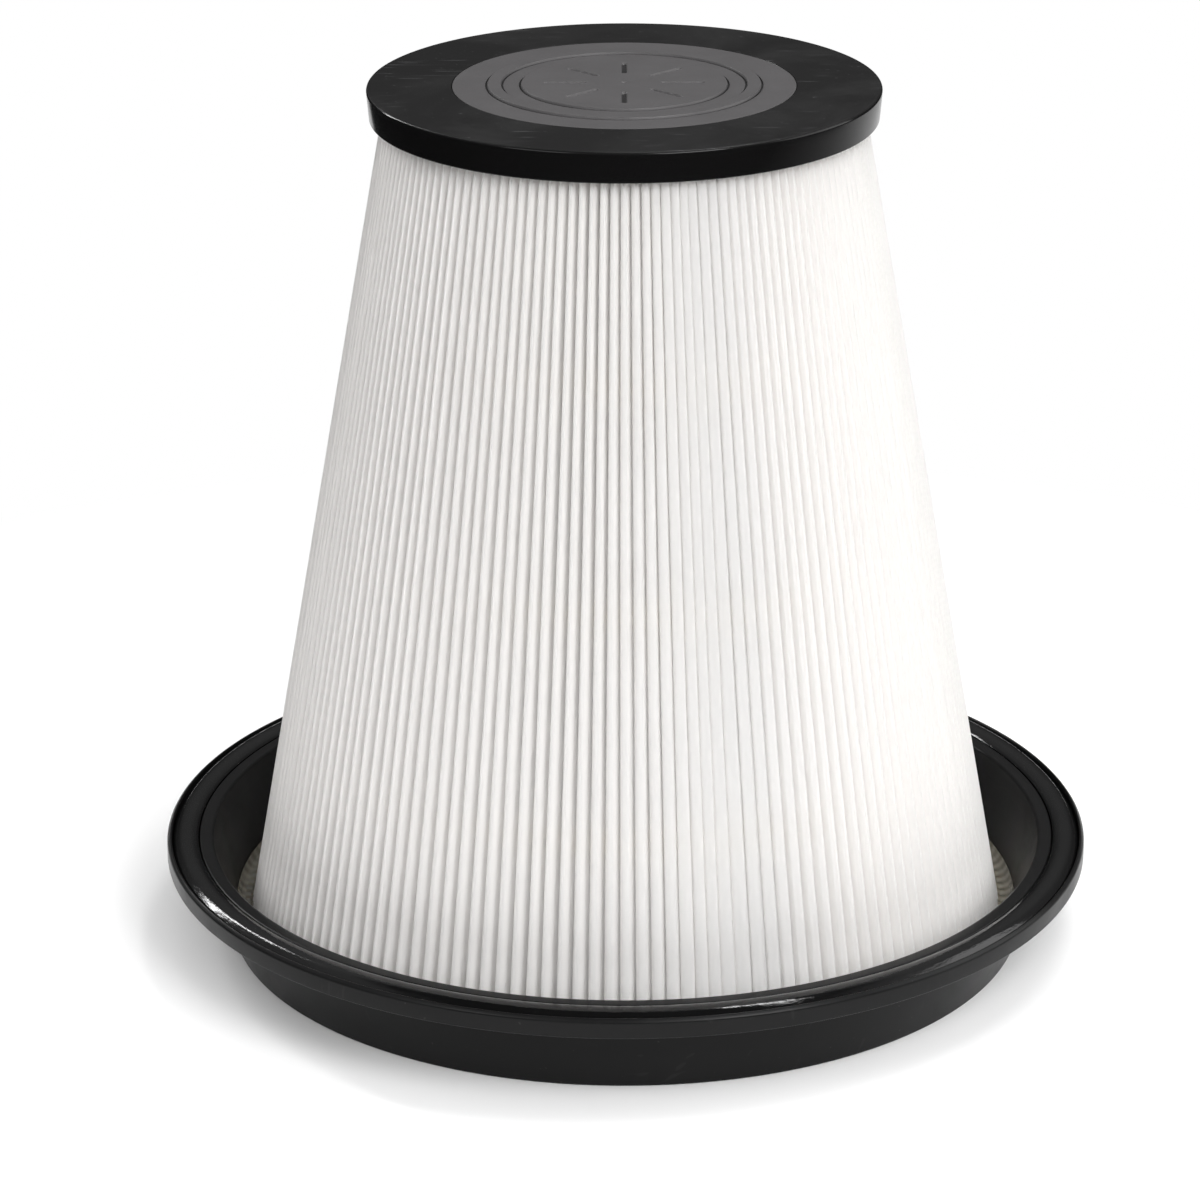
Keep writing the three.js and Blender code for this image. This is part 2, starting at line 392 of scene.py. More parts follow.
# ---------------------------------------------------------------- materials
def make_cap_material():
    """Black plastic with a satin, slightly scuffed top and a glossy side."""
    graph = start_material("cap_plastic")
    geometry = graph.node("ShaderNodeNewGeometry")
    facing_up = graph.split(geometry.outputs["Normal"])[2]
    top = graph.ramp(facing_up, 0.55, 0.9)
    coords = graph.coords()

    satin_noise = graph.noise(coords, scale=30.0, detail=5.0, rough=0.6)
    satin = graph.span(satin_noise, start=0.4, reach=0.16)
    glossy = graph.span(graph.noise(coords, scale=18.0, detail=3.0), start=0.1, reach=0.09)
    side = graph.subtract(1.0, top)
    roughness = graph.add(graph.multiply(top, satin), graph.multiply(side, glossy))

    turns = ((0.55, 620), (2.2, 800), (1.2, 500), (2.9, 700))  # direction, fineness
    scuff = scratches(
        graph,
        coords,
        strokes=[
            ((34, fineness, 40), turn, (0.31 * i, 0.17 * i, 0))
            for i, (turn, fineness) in enumerate(turns)
        ],
        detail=1.5,
        rough=0.5,
        line=(0.69, 0.735),
        patch_scale=16.0,
        patch_step=4,
        patch=(0.54, 0.64),
    )
    specks = graph.ramp(graph.noise(coords, scale=380.0, detail=1.0), 0.74, 0.78)
    wear = graph.math("MAXIMUM", graph.multiply(scuff, 0.35), graph.multiply(specks, 0.22))
    wear = graph.multiply(wear, top)
    cloud = graph.noise(coords, scale=12.0, detail=5.0, rough=0.65, distortion=0.6)
    haze = graph.multiply(graph.ramp(cloud, 0.45, 0.75), graph.multiply(top, 0.012))
    base = graph.mix(wear, (0.0045, 0.0044, 0.0045, 1), (0.14, 0.14, 0.145, 1))
    color = graph.node("ShaderNodeVectorMath", {0: base, 1: haze}, operation="ADD")

    grain = graph.multiply(graph.noise(coords, scale=1400.0, detail=2.0), top)
    fine = graph.bump(grain, distance=0.00003, strength=0.5)
    waves = graph.noise(coords, scale=26.0, detail=2.0)
    shader = graph.principled(
        Base_Color=color.outputs[0],
        Roughness=roughness,
        Specular_IOR_Level=0.19,
        Normal=graph.bump(waves, distance=0.0003, strength=0.06, normal=fine),
        **BLACK_FINISH,
    )
    graph.surface(shader)


def make_disc_material():
    """Mottled dark grey plastic, with painted shade that darkens the ring lines and grooves."""
    graph = start_material("disc_plastic")
    coords = graph.coords()
    mottled = graph.noise(coords, scale=45.0, detail=5.0, rough=0.6)
    tone = graph.mix(mottled, (0.055, 0.053, 0.054, 1), (0.075, 0.072, 0.074, 1))
    z = graph.split(graph.coords())[2]
    below_face = graph.multiply(graph.subtract(CAP_TOP * MM, z), 1000.0)  # in mm
    # painted shade: the sunk lines and grooves are coloured nearly black, as shade falls in them
    sunk = graph.multiply(graph.ramp(below_face, 0.12, 0.38), 0.88)
    sheen = graph.noise(coords, scale=60.0, detail=4.0)
    grain = graph.noise(coords, scale=1500.0, detail=2.0)
    shader = graph.principled(
        Base_Color=graph.mix(sunk, tone, (0.004, 0.004, 0.004, 1)),
        Roughness=graph.span(sheen, start=0.42, reach=0.18),
        IOR=1.46,
        Normal=graph.bump(grain, distance=0.00003, strength=0.5),
    )
    graph.surface(shader)


def make_media_material():
    """White fibrous sheet that lets light through."""
    graph = start_material("filter_media")
    coords = graph.coords()
    turn, radius, z = graph.polar()
    # fibres run along the pleat; felt is a fleecy small-scale mottling
    along = graph.stretched((turn, radius, z), (260.0, 420.0, 60.0))
    fibre = graph.noise(along, scale=6.0, detail=4.0, rough=0.65, distortion=0.5)
    felt = graph.noise(coords, scale=1700.0, detail=3.0, rough=0.7)
    cloud = graph.noise(coords, scale=16.0, detail=4.0, rough=0.6)
    tone = graph.mix(cloud, (0.95, 0.946, 0.942, 1), (0.972, 0.969, 0.966, 1))
    fibre_mask = graph.multiply(graph.ramp(fibre, 0.35, 0.75), 0.35)
    tone = graph.mix(fibre_mask, tone, (0.972, 0.97, 0.965, 1))

    # painted light: the outer folds are toned down slightly against the sheet between them, so
    # that the valleys look lit by light bouncing into them
    at_base = graph.add(radius, graph.multiply(z, CONE_SLOPE))
    inwards = graph.subtract(CONE_RADIUS * MM, at_base)
    painted_ridge_dimming = graph.ramp(graph.multiply(inwards, 100.0), 0.0, 0.28, low=1.0, high=0.0)
    tone = graph.mix(graph.multiply(painted_ridge_dimming, 0.10), tone, (0.0, 0.0, 0.0, 1))

    fibre_bump = graph.bump(fibre, distance=0.00003, strength=0.09)
    normal = graph.bump(felt, distance=0.00003, strength=0.2, normal=fibre_bump)
    matt = graph.node(
        "ShaderNodeBsdfDiffuse", {"Color": tone, "Roughness": 0.6, "Normal": normal}
    )
    warm = graph.mix(0.5, tone, (0.972, 0.942, 0.912, 1))
    through = graph.node("ShaderNodeBsdfTranslucent", {"Color": warm, "Normal": normal})
    sheen = graph.principled(
        Base_Color=tone,
        Roughness=0.62,
        Specular_IOR_Level=0.25,
        Sheen_Weight=0.15,
        Normal=normal,
    )
    sheen_share, through_share = 0.22, 0.54
    face = graph.mix_shader(sheen_share, matt.outputs[0], sheen)
    sheet = graph.mix_shader(through_share, face, through.outputs[0])
    # the sheet scatters light where it enters, and lets it out freely on the other side
    clear = graph.node("ShaderNodeBsdfTransparent")
    backfacing = graph.node("ShaderNodeNewGeometry").outputs["Backfacing"]
    graph.surface(graph.mix_shader(backfacing, sheet, clear.outputs[0]))


def make_resin_material():
    """Cloudy brownish resin with small pits, and dark rays at the spacing of the pleats: a painted
    reflection of the folds.
    """
    graph = start_material("potting_resin")
    coords = graph.coords()
    cloud = graph.noise(coords, scale=30.0, detail=5.0, rough=0.6, distortion=0.4)
    cloud_mask = graph.ramp(cloud, 0.3, 0.7)
    tone = graph.mix(cloud_mask, (0.135, 0.124, 0.097, 1), (0.24, 0.221, 0.173, 1))
    bubbles = graph.node(
        "ShaderNodeTexVoronoi", {"Vector": coords, "Scale": 420.0}, feature="SMOOTH_F1"
    )
    pit = graph.ramp(bubbles.outputs["Distance"], 0.0, 0.16)
    # painted reflection: dark rays at the pleat spacing stand in for the folds mirrored in the
    # glossy resin
    x, y, _ = graph.split(graph.coords())
    ray = graph.math("SINE", graph.multiply(graph.turn(x, y), TAU * PLEATS))
    ray = graph.span(ray, start=0.5, reach=0.5)
    fading = graph.ramp(graph.noise(coords, scale=60.0, detail=3.0), 0.3, 0.65, low=0.25)
    ray = graph.multiply(graph.multiply(ray, fading), 0.75)
    pit_bump = graph.bump(pit, distance=0.0001, strength=0.3)
    waves = graph.noise(coords, scale=90.0, detail=3.0)
    shader = graph.principled(
        Base_Color=graph.mix(ray, tone, (0.045, 0.042, 0.033, 1)),
        Roughness=graph.span(cloud, start=0.14, reach=0.2),
        IOR=1.5,
        Coat_Weight=0.25,
        Coat_Roughness=0.08,
        Subsurface_Weight=0.08,
        Subsurface_Scale=0.002,
        Normal=graph.bump(waves, distance=0.0004, strength=0.25, normal=pit_bump),
    )
    graph.surface(shader)


def make_glue_material(slot, color, roughness, subsurface):
    graph = start_material(slot)
    coords = graph.coords()
    cloud = graph.noise(coords, scale=70.0, detail=4.0)
    dark = tuple(c * 0.82 for c in color)
    lumps = graph.noise(coords, scale=260.0, detail=3.0)
    shader = graph.principled(
        Base_Color=graph.mix(cloud, (*dark, 1), (*color, 1)),
        Roughness=graph.span(cloud, start=roughness, reach=0.2),
        Subsurface_Weight=subsurface,
        Subsurface_Scale=0.0015,
        Normal=graph.bump(lumps, distance=0.0002, strength=0.4),
    )
    graph.surface(shader)


def make_steel_material():
    """Spangled grey steel."""
    graph = start_material("core_steel")
    coords = graph.coords()
    cells = graph.node("ShaderNodeTexVoronoi", {"Vector": coords, "Scale": 90.0})
    split = graph.node("ShaderNodeSeparateColor", {0: cells.outputs["Color"]})
    spangle = split.outputs[0]
    grain = graph.noise(coords, scale=500.0, detail=3.0)
    shader = graph.principled(
        Base_Color=graph.mix(spangle, (0.46, 0.47, 0.48, 1), (0.66, 0.67, 0.68, 1)),
        Metallic=0.92,
        Roughness=graph.span(spangle, start=0.28, reach=0.22),
        Normal=graph.bump(grain, distance=0.00004, strength=0.4),
    )
    graph.surface(shader)


def make_dish_material():
    """Black plastic with smudges, dust and a few hair scratches."""
    graph = start_material("dish_plastic")
    coords = graph.coords()
    broad = graph.noise(coords, scale=9.0, detail=4.0)
    tone = black_tone(graph, coords, broad, base=0.0055, dust=0.06)
    lines = scratches(
        graph,
        coords,
        strokes=[
            ((70, 900, 70), turn, (0.13 * i, 0.2, 0)) for i, turn in enumerate((0.4, 1.9, 2.8))
        ],
        detail=1.0,
        rough=0.4,
        line=(0.71, 0.74),
        patch_scale=14.0,
        patch_step=3,
        patch=(0.52, 0.62),
    )
    grain = graph.noise(coords, scale=900.0, detail=2.0)
    fine = graph.bump(grain, distance=0.00003, strength=0.6)
    shader = graph.principled(
        Base_Color=graph.mix(graph.multiply(lines, 0.03), tone, (0.16, 0.16, 0.16, 1)),
        Roughness=smudged_roughness(graph, coords, low=0.28, high=0.4),
        Specular_IOR_Level=0.16,
        Normal=graph.bump(broad, distance=0.0004, strength=0.12, normal=fine),
        **BLACK_FINISH,
    )
    graph.surface(shader)


def make_seal_material():
    """Glossy black rubber, rippled along its length."""
    graph = start_material("seal_rubber")
    coords = graph.coords()
    broad = graph.noise(coords, scale=9.0, detail=4.0)
    along = graph.stretched(graph.polar(), (90.0, 260.0, 260.0))
    ripple = graph.noise(along, scale=3.0, detail=3.0, rough=0.6)
    grain = graph.noise(graph.coords(), scale=700.0, detail=2.0)
    fine = graph.bump(grain, distance=0.00003, strength=0.5)
    shader = graph.principled(
        Base_Color=black_tone(graph, coords, broad, base=0.0035, dust=0.05),
        Roughness=smudged_roughness(graph, coords, low=0.07, high=0.13),
        Specular_IOR_Level=0.38,
        Normal=graph.bump(ripple, distance=0.0005, strength=0.22, normal=fine),
        **BLACK_FINISH,
    )
    graph.surface(shader)


make_cap_material()
make_disc_material()
make_media_material()
make_resin_material()
make_glue_material("hot_melt", color=(0.78, 0.68, 0.42), roughness=0.25, subsurface=0.12)
make_glue_material("seam_glue", color=(0.95, 0.94, 0.925), roughness=0.5, subsurface=0.0)
make_steel_material()
make_dish_material()
make_seal_material()


# ------------------------------------------------------------ turned rings
# Outlines list r, z and the corner's rounding radius.
DISH_OUTLINE = [
    # underside, outer wall and flange
    (165.0, 0.0, 0.8), (198.3, 0.0, 1.4), (204.2, 27.0, 6.0), (206.6, 38.2, 1.5),
    (209.5, 40.0, 1.0), (230.0, 40.0, 0.7), (230.0, 48.2, 1.8), (228.3, 49.9, 0.6),
    # channel for the seal
    (227.6, 49.3, 0.2), (227.6, 44.0, 0.4), (214.0, 44.0, 0.4), (213.8, 49.2, 1.1),
    # inner wall, floor and inner lip
    (206.9, 49.2, 1.9), (204.6, 40.0, 9.0), (200.2, 27.0, 9.0), (196.5, 15.0, 3.0),
    (194.9, 3.0, 2.0), (167.5, 3.0, 1.0), (167.5, 14.0, 0.9), (165.0, 14.0, 0.9),
]

SEAL_OUTLINE = [
    (214.3, 44.3, 0.3), (227.3, 44.3, 0.3), (227.3, 46.8, 0.6), (226.4, 48.4, 1.6),
    (223.5, 50.75, 4.5), (220.4, 51.41, 8.0), (217.6, 51.1, 6.0), (215.3, 49.9, 2.0),
    (214.3, 48.9, 0.6),
]

# The first point stands twice; the two rings it makes are welded together.
BASE_RESIN_OUTLINE = [
    (167.8, 3.3, 0.0), (167.8, 3.3, 0.0), (194.6, 3.3, 1.5), (196.1, 14.3, 0.0),
    (195.4, 12.9, 0.8), (194.2, 11.2, 1.6), (192.4, 10.3, 2.0), (189.6, 10.1, 1.0),
    (188.4, 10.7, 0.6), (187.2, 10.1, 0.6), (176.0, 9.6, 1.0), (170.0, 9.6, 1.0),
    (168.3, 11.2, 0.4), (167.8, 10.6, 0.2),
]


def build_dish():
    return turned_ring("dish_shell", rounded(DISH_OUTLINE, steps=6), 360)


def seal_wobble(r, z, theta):
    """A moulded strip is never quite even: tenths of a millimetre, growing to its crown."""
    lift = np.clip((z - 47.0) / 4.4, 0, 1)
    sink = -np.abs(smooth_noise(theta, seed=21, harmonics=range(5, 40), amplitude=0.07)) * lift
    shift = smooth_noise(theta, seed=22, harmonics=range(7, 60), amplitude=0.05) * lift
    return r + shift, z + sink


def build_seal():
    return turned_ring("seal_crown", rounded(SEAL_OUTLINE, steps=7), 720, seal_wobble)


def base_resin_wobble(r, z, theta):
    """The resin creeps up a little between the folds, and its level varies."""
    level = smooth_noise(theta, seed=31, harmonics=range(2, 12), amplitude=0.25)
    near_folds = np.clip((r - 186.0) / 3.0, 0, 1) * np.clip((191.5 - r) / 2.0, 0, 1)
    creep = 0.55 * near_folds * np.cos(PLEATS * (theta + math.pi / 2) + math.pi)
    top = np.clip((z - 7.0) / 2.5, 0, 1)
    return r, z + top * (level * 0.5 + creep)


def build_base_resin():
    profile = rounded(BASE_RESIN_OUTLINE, closed=False)
    return turned_ring("resin_ring_base", profile, 1200, base_resin_wobble)


def build_cap_resin():
    """Resin ring under the cap, with a lip against the cap's skirt."""
    inner, outer = 80.0, 118.3
    bottom, top = 421.3, 423.7
    outline = [
        (inner, bottom, 0.6),
        (outer - 3.0, bottom, 0.0),
        (116.1, CAP_BOTTOM + 2.4, 0.5),
        (outer, CAP_BOTTOM + 2.0, 0.2),
        (outer, top, 0.3),
        (inner, top, 0.3),
    ]
    return turned_ring("resin_ring_cap", rounded(outline, steps=4), 300)


# ------------------------------------------------------------- pleated cone
HALF_SHEET = 0.27  # half of the sheet's thickness
VALLEY_LEAN = 0.8 / 176.0  # radians by which every valley is turned to one side
NOSE_STEPS, VALLEY_STEPS = 9, 5  # points round each outer nose and inner fold

# Spacing of the folds from number 2 on, against the even spacing.
SEAM_SPACING = (0.95, 0.96, 1.0, 0.84, 0.8, 0.86, 1.08)
# Largest half width of the noses pressed together near the seam, in pitches, from fold -3 on.
PRESSED_SHARES = (
    0.18, 0.2, 0.225, 0.25, 0.28, 0.32, 0.37, 0.43, 0.47, 0.475,
    0.47, 0.44, 0.41, 0.38, 0.35, 0.32, 0.29, 0.26, 0.23, 0.2,
)


def make_folds():
    """Place and character of every fold, as arrays over the folds. Fold 0 faces the front."""
    rng = np.random.default_rng(7)
    spacing = 1 + rng.normal(0, 0.035, PLEATS)
    for k, factor in enumerate(SEAM_SPACING, start=2):
        spacing[k] *= factor
    edges = np.concatenate([[0], np.cumsum(spacing)])
    edges = edges / edges[-1] * PLEATS
    centres = (edges[:-1] + edges[1:]) / 2
    centres -= centres[0]
    folds = SimpleNamespace(
        angle=centres / PLEATS * TAU - math.pi / 2,
        width=edges[1:] - edges[:-1],  # in pitches
        # half width of the nose, in pitches, and its limit
        nose_share=np.clip(0.155 + rng.normal(0, 0.014, PLEATS), 0.125, 0.19),
        nose_limit=np.full(PLEATS, 0.36),
        depth=np.full(PLEATS, PLEAT_DEPTH - 0.25),  # of the valley after each fold
        nose_drop=np.abs(rng.normal(0, 0.22, PLEATS)),
        lean=rng.normal(0, 0.02, PLEATS),
        # a slow and a quick sideways wave along the height, in pitches
        slow_sway=rng.normal(0, 0.024, PLEATS),
        slow_phase=rng.uniform(0, TAU, PLEATS),
        quick_sway=rng.normal(0, 0.003, PLEATS),
        quick_phase=rng.uniform(0, TAU, PLEATS),
    )
    # the folds beside the seam are pressed against one another, so little shows between them
    for k, share in enumerate(PRESSED_SHARES, start=-3):
        folds.depth[k] -= 9.0 * min(1, max(0, (share - 0.2) / 0.2))
        folds.nose_share[k], folds.nose_limit[k] = 0.7, share
        calm = 1 - 0.75 * min(1, max(0, (share - 0.18) / 0.25))
        for values in (folds.nose_drop, folds.slow_sway, folds.quick_sway, folds.lean):
            values[k] *= calm
    folds.depth[SEAM_FOLD] = 9.5
    # the valleys from fold -16 to fold 2 are shallower
    for k in range(-16, 3):
        folds.depth[k] -= 4.2 * min(1, (k + 17) / 8) * min(1, (3 - k) / 4)
    return folds


def half_circle(centre, radius, direction, steps):
    """Points (across, out) of a half circle bulging out (1) or in (-1), with their normals."""
    points = []
    for k in range(steps):
        angle = -math.pi / 2 + math.pi * k / (steps - 1)
        across, out = math.sin(angle), direction * math.cos(angle)
        points.append((across * radius, centre + out * radius, across, out))
    return points


def curve_points(curve, z):
    """Points (x, y, z) of a curve of (angle, distance across it, distance out along it)."""
    curve = np.array(curve)
    out = curve[:, 2]
    theta = curve[:, 0] + np.arctan2(curve[:, 1], out)
    r = np.hypot(curve[:, 1], out)
    return np.stack([r * np.cos(theta), r * np.sin(theta), np.full(len(curve), z)], -1)


def pleat_section(folds, z):
    """The outer and inner faces of the sheet at one height."""
    radius = cone_radius(z) - 0.12
    pitch = TAU * radius / PLEATS
    height = (z - PACK_BOTTOM) / (PACK_TOP - PACK_BOTTOM)
    free = math.sin(math.pi * height) ** 0.5  # folds are held at both ends
    outer_curve, inner_curve = [], []
    for i in range(PLEATS):
        width = folds.width[i]
        nose_half = folds.nose_share[i] * pitch * (0.55 + 0.45 * width)
        nose_half = min(nose_half, folds.nose_limit[i] * pitch * width)
        slow = folds.slow_sway[i] * math.sin(TAU * 0.8 * height + folds.slow_phase[i])
        quick = folds.quick_sway[i] * math.sin(TAU * 2.3 * height + folds.quick_phase[i])
        offset = (folds.lean[i] + free * (slow + quick)) * pitch
        nose_angle = folds.angle[i] + offset / radius
        drop = folds.nose_drop[i] * (0.4 + 0.6 * free)
        nose_centre = radius - drop - nose_half
        nose = half_circle(nose_centre, nose_half - HALF_SHEET, 1, NOSE_STEPS)

        # the valley lies between this fold and the next
        following = (i + 1) % PLEATS
        next_angle = folds.angle[following] + (TAU if following == 0 else 0)
        next_offset = folds.lean[following] * pitch
        valley_angle = (nose_angle + next_angle + next_offset / radius) / 2 + VALLEY_LEAN
        valley_radius = cone_radius(z) - folds.depth[i]
        valley_pitch = TAU * valley_radius / PLEATS * 0.5 * (width + folds.width[following])
        valley_half = 0.125 * valley_pitch
        bend = max(valley_half - HALF_SHEET, 0.12)
        valley = half_circle(valley_radius + valley_half, bend, -1, VALLEY_STEPS)

        # in the valley the sheet's outer face is the one nearer the bend's centre
        for angle, arc, to_outer, to_inner in (
            (nose_angle, nose, HALF_SHEET, -HALF_SHEET),
            (valley_angle, valley, -0.9 * HALF_SHEET, HALF_SHEET),
        ):
            for across, out, normal_across, normal_out in arc:
                for curve, shift in ((outer_curve, to_outer), (inner_curve, to_inner)):
                    curve.append((angle, across + normal_across * shift, out + normal_out * shift))
    return curve_points(outer_curve, z), curve_points(inner_curve, z)


def build_pleats(folds):
    """The folded sheet as one closed thin shell: round noses, long walls, tight inner folds."""
    lower = np.linspace(PACK_BOTTOM, 24, 4)[:-1]
    heights = np.concatenate([lower, np.linspace(24, PACK_TOP, 30)])
    outer_rows, inner_rows = zip(*(pleat_section(folds, z) for z in heights))
    count, rows = len(outer_rows[0]), len(heights)
    this = np.arange(count)
    following = (this + 1) % count
    inner = rows * count  # index of the inner face's first point
    quads = []
    for row in range(rows - 1):
        here, above = row * count, (row + 1) * count
        outer_quads = [here + this, here + following, above + following, above + this]
        inner_quads = [here + following, here + this, above + this, above + following]
        quads.append(np.stack(outer_quads, -1))
        quads.append(inner + np.stack(inner_quads, -1))
    # the bottom and top edges of the sheet
    top = (rows - 1) * count
    quads.append(np.stack([following, this, inner + this, inner + following], -1))
    top_quads = [this, following, inner + following, inner + this]
    quads.append(top + np.stack(top_quads, -1))
    verts = np.concatenate(outer_rows + inner_rows) * MM
    return grid_object("media_cone", verts, np.concatenate(quads), sharp_angle=70.0)


def build_seam(folds):
    """A thin uneven bead of glue standing in the valley between two folds."""
    heights = np.linspace(12.5, 410.5, 120)
    angle = (folds.angle[SEAM_FOLD] + folds.angle[SEAM_FOLD + 1]) / 2
    window = 9  # samples averaged to smooth the unevenness
    draws = np.random.default_rng(41).normal(0, 1, len(heights) + window - 1)
    unevenness = np.convolve(draws, np.ones(window) / window, "valid")
    arc_steps = 7
    verts = []
    for z, uneven in zip(heights, unevenness):
        crest = cone_radius(z) - 4.7 + 0.35 * uneven
        root = cone_radius(z) - 6.6
        half_width = 0.42 + 0.06 * uneven
        for centre, start in ((crest, 0), (root, math.pi)):
            for turn in np.linspace(start, start + math.pi, arc_steps):
                across = math.cos(turn) * half_width
                r = centre + math.sin(turn) * half_width
                theta = angle + across / r
                verts.append((r * math.cos(theta), r * math.sin(theta), z))
    section = 2 * arc_steps
    last = (len(heights) - 1) * section
    faces = lattice_quads(len(heights), section).tolist()
    faces.append(tuple(range(section))[::-1])
    faces.append(tuple(last + j for j in range(section)))
    return mesh_object("seam_bead", np.array(verts) * MM, faces, sharp_angle=50.0)


def build_bead(name, node, seed):
    """A ring of hot melt just inside the inner folds, thicker between the outer noses."""
    low, high = box_mm(node)
    centre_z = (low[2] + high[2]) / 2
    centre_r = cone_radius(centre_z) - PLEAT_DEPTH - 1.35
    segments, section = PLEATS * 6, 12
    theta = np.arange(segments) / segments * TAU
    lump = 0.5 + 0.5 * np.cos(PLEATS * (theta + math.pi / 2) + math.pi)
    wave = smooth_noise(theta, seed, harmonics=range(3, 30), amplitude=0.25)
    around = np.arange(section) / section * TAU
    half_r = 0.72 + 0.24 * lump
    half_z = 1.9 + 0.35 * lump
    r = centre_r + half_r[:, None] * np.cos(around)[None, :]
    z = centre_z + wave[:, None] * 0.5 + half_z[:, None] * np.sin(around)[None, :]
    theta = theta[:, None]
    verts = np.stack([r * np.cos(theta), r * np.sin(theta), z], -1).reshape(-1, 3) * MM
    quads = lattice_quads(segments, section, close_rows=True, flip=True)
    return grid_object(name, verts, quads, sharp_angle=60.0)


# --------------------------------------------------------- perforated core
def build_core():
    """Perforated conical sheet with plain bands at its ends.

    Cells are laid on the unrolled cone so that the holes stay round. Every other row is shifted
    by half a cell, and one column is left blank.
    """
    columns, rows, blank_column = 60, 37, 45
    quarters = 4  # steps along a cell's edge
    total = columns * quarters
    wall, end_band = 0.8, 9.0
    inset = PLEAT_DEPTH + 2.9  # of the core's outer face from the outer folds
    hole_share = 0.325  # hole radius, in cell widths
    slant = math.sqrt(1 + CONE_SLOPE * CONE_SLOPE)  # length on the cone per unit of height
    bottom, top = CORE_LOW[2], CORE_HIGH[2]
    step = TAU / columns

    def outer_radius(z):
        return cone_radius(z) - inset

    # rows are spaced in proportion to the local radius
    first = outer_radius(bottom + end_band)
    ratio = (outer_radius(top - end_band) / first) ** (1.0 / rows)
    edges = [(CONE_RADIUS - inset - first * ratio**k) / CONE_SLOPE for k in range(rows + 1)]

    verts, faces, index = [], [], {}

    def pair(key, theta, z):
        """Indices of the outer and inner points at a place, made when first asked for."""
        if key not in index:
            index[key] = (len(verts), len(verts) + 1)
            for r in (outer_radius(z), outer_radius(z) - wall):
                verts.append((r * math.cos(theta), r * math.sin(theta), z))
        return index[key]

    def add_cell(row, column):
        low, high = edges[row], edges[row + 1]
        middle = (low + high) / 2
        base = column * quarters + (row % 2) * (quarters // 2)
        end = base + quarters
        # round the cell: kind of point, row of the edge, step round the cone, height
        border = [("edge", row, k, low) for k in range(base, end + 1)]
        border.append(("side", row, end, middle))
        border += [("edge", row + 1, k, high) for k in range(end, base - 1, -1)]
        border.append(("side", row, base, middle))
        count = len(border)
        rim = [
            pair((kind, line, k % total), k / quarters * step, z) for kind, line, k, z in border
        ]
        centre = (base + 2) / quarters * step
        if column == blank_column:
            hub = pair(("centre", row, column), centre, middle)
            for side in (0, 1):
                for s in range(count):
                    corners = (rim[s][side], rim[(s + 1) % count][side], hub[side])
                    faces.append(corners if side == 0 else corners[::-1])
            return
        radius = outer_radius(middle)
        hole_radius = hole_share * (step * radius)
        hole = []
        for s, (_, _, k, z) in enumerate(border):
            across = (k / quarters * step - centre) * radius
            angle = math.atan2((z - middle) * slant, across)
            theta = centre + hole_radius * math.cos(angle) / radius
            hole_z = middle + hole_radius * math.sin(angle) / slant
            hole.append(pair(("hole", row, column, s), theta, hole_z))
        for s in range(count):
            after = (s + 1) % count
            faces.append((rim[s][0], rim[after][0], hole[after][0], hole[s][0]))
            faces.append((rim[after][1], rim[s][1], hole[s][1], hole[after][1]))
            faces.append((hole[s][0], hole[after][0], hole[after][1], hole[s][1]))

    def add_band(low, low_key, high, high_key, at_bottom):
        for s in range(total):
            after = (s + 1) % total
            theta, theta_after = s / quarters * step, after / quarters * step
            a = pair((*low_key, s), theta, low)
            b = pair((*low_key, after), theta_after, low)
            c = pair((*high_key, after), theta_after, high)
            d = pair((*high_key, s), theta, high)
            faces.append((a[0], b[0], c[0], d[0]))
            faces.append((b[1], a[1], d[1], c[1]))
            if at_bottom:
                faces.append((b[0], a[0], a[1], b[1]))
            else:
                faces.append((d[0], c[0], c[1], d[1]))

    for row in range(rows):
        for column in range(columns):
            add_cell(row, column)
    add_band(bottom, ("end", 0), edges[0], ("edge", 0), at_bottom=True)
    add_band(edges[-1], ("edge", rows), top, ("end", 1), at_bottom=False)
    return mesh_object("perforated_core", np.array(verts) * MM, faces, sharp_angle=40.0)


# ------------------------------------------------------------ cap and disc
def cap_wobble(r, z, theta):
    """Lets the top outside the disc sink very slightly and unevenly."""
    near_top = np.clip((z - 429.0) / 1.0, 0, 1) * np.clip((r - 84) / 4, 0, 1)
    sink = np.abs(smooth_noise(theta, seed=61, harmonics=range(2, 9), amplitude=0.05))
    return r, z - near_top * sink


def build_cap():
    """The cap: a flaring skirt, and a flat top with a round recess for the disc."""
    axis_gap = 0.6
    skirt, wall = 121.4, 2.7
    ceiling, recess_floor, recess = 424.0, 426.8, 82.0
    outline = [
        (axis_gap, ceiling, 0),
        (skirt - wall, ceiling, 0.6),
        (skirt - wall, CAP_BOTTOM, 0.4),
        (skirt, CAP_BOTTOM, 0.7),
        (CAP_RADIUS, CAP_TOP, 1.5),
        (recess, CAP_TOP, 0.25),
        (recess, recess_floor, 0.2),
        (axis_gap, recess_floor, 0),
    ]
    corners = rounded(outline, closed=False, steps=7)
    # extra rings across the flat top, so that it can be very slightly dished like a moulding
    profile = []
    for a, b in zip(corners[:-1], corners[1:]):
        profile.append(a)
        on_top = abs(a[1] - CAP_TOP) < 0.01 and abs(b[1] - CAP_TOP) < 0.01
        if on_top and abs(a[0] - b[0]) > 10:
            for s in np.linspace(0, 1, 12)[1:-1]:
                profile.append((a[0] + (b[0] - a[0]) * s, a[1] - 0.12 * math.sin(math.pi * s)))
    profile.append(corners[-1])
    return turned_solid("cap_shell", profile, 360, cap_wobble)


DISC_RADIUS = 81.7
CENTRE_EDGE, RING_INNER, RING_OUTER = 49.0, 58.5, 65.0  # radii of the steps in height
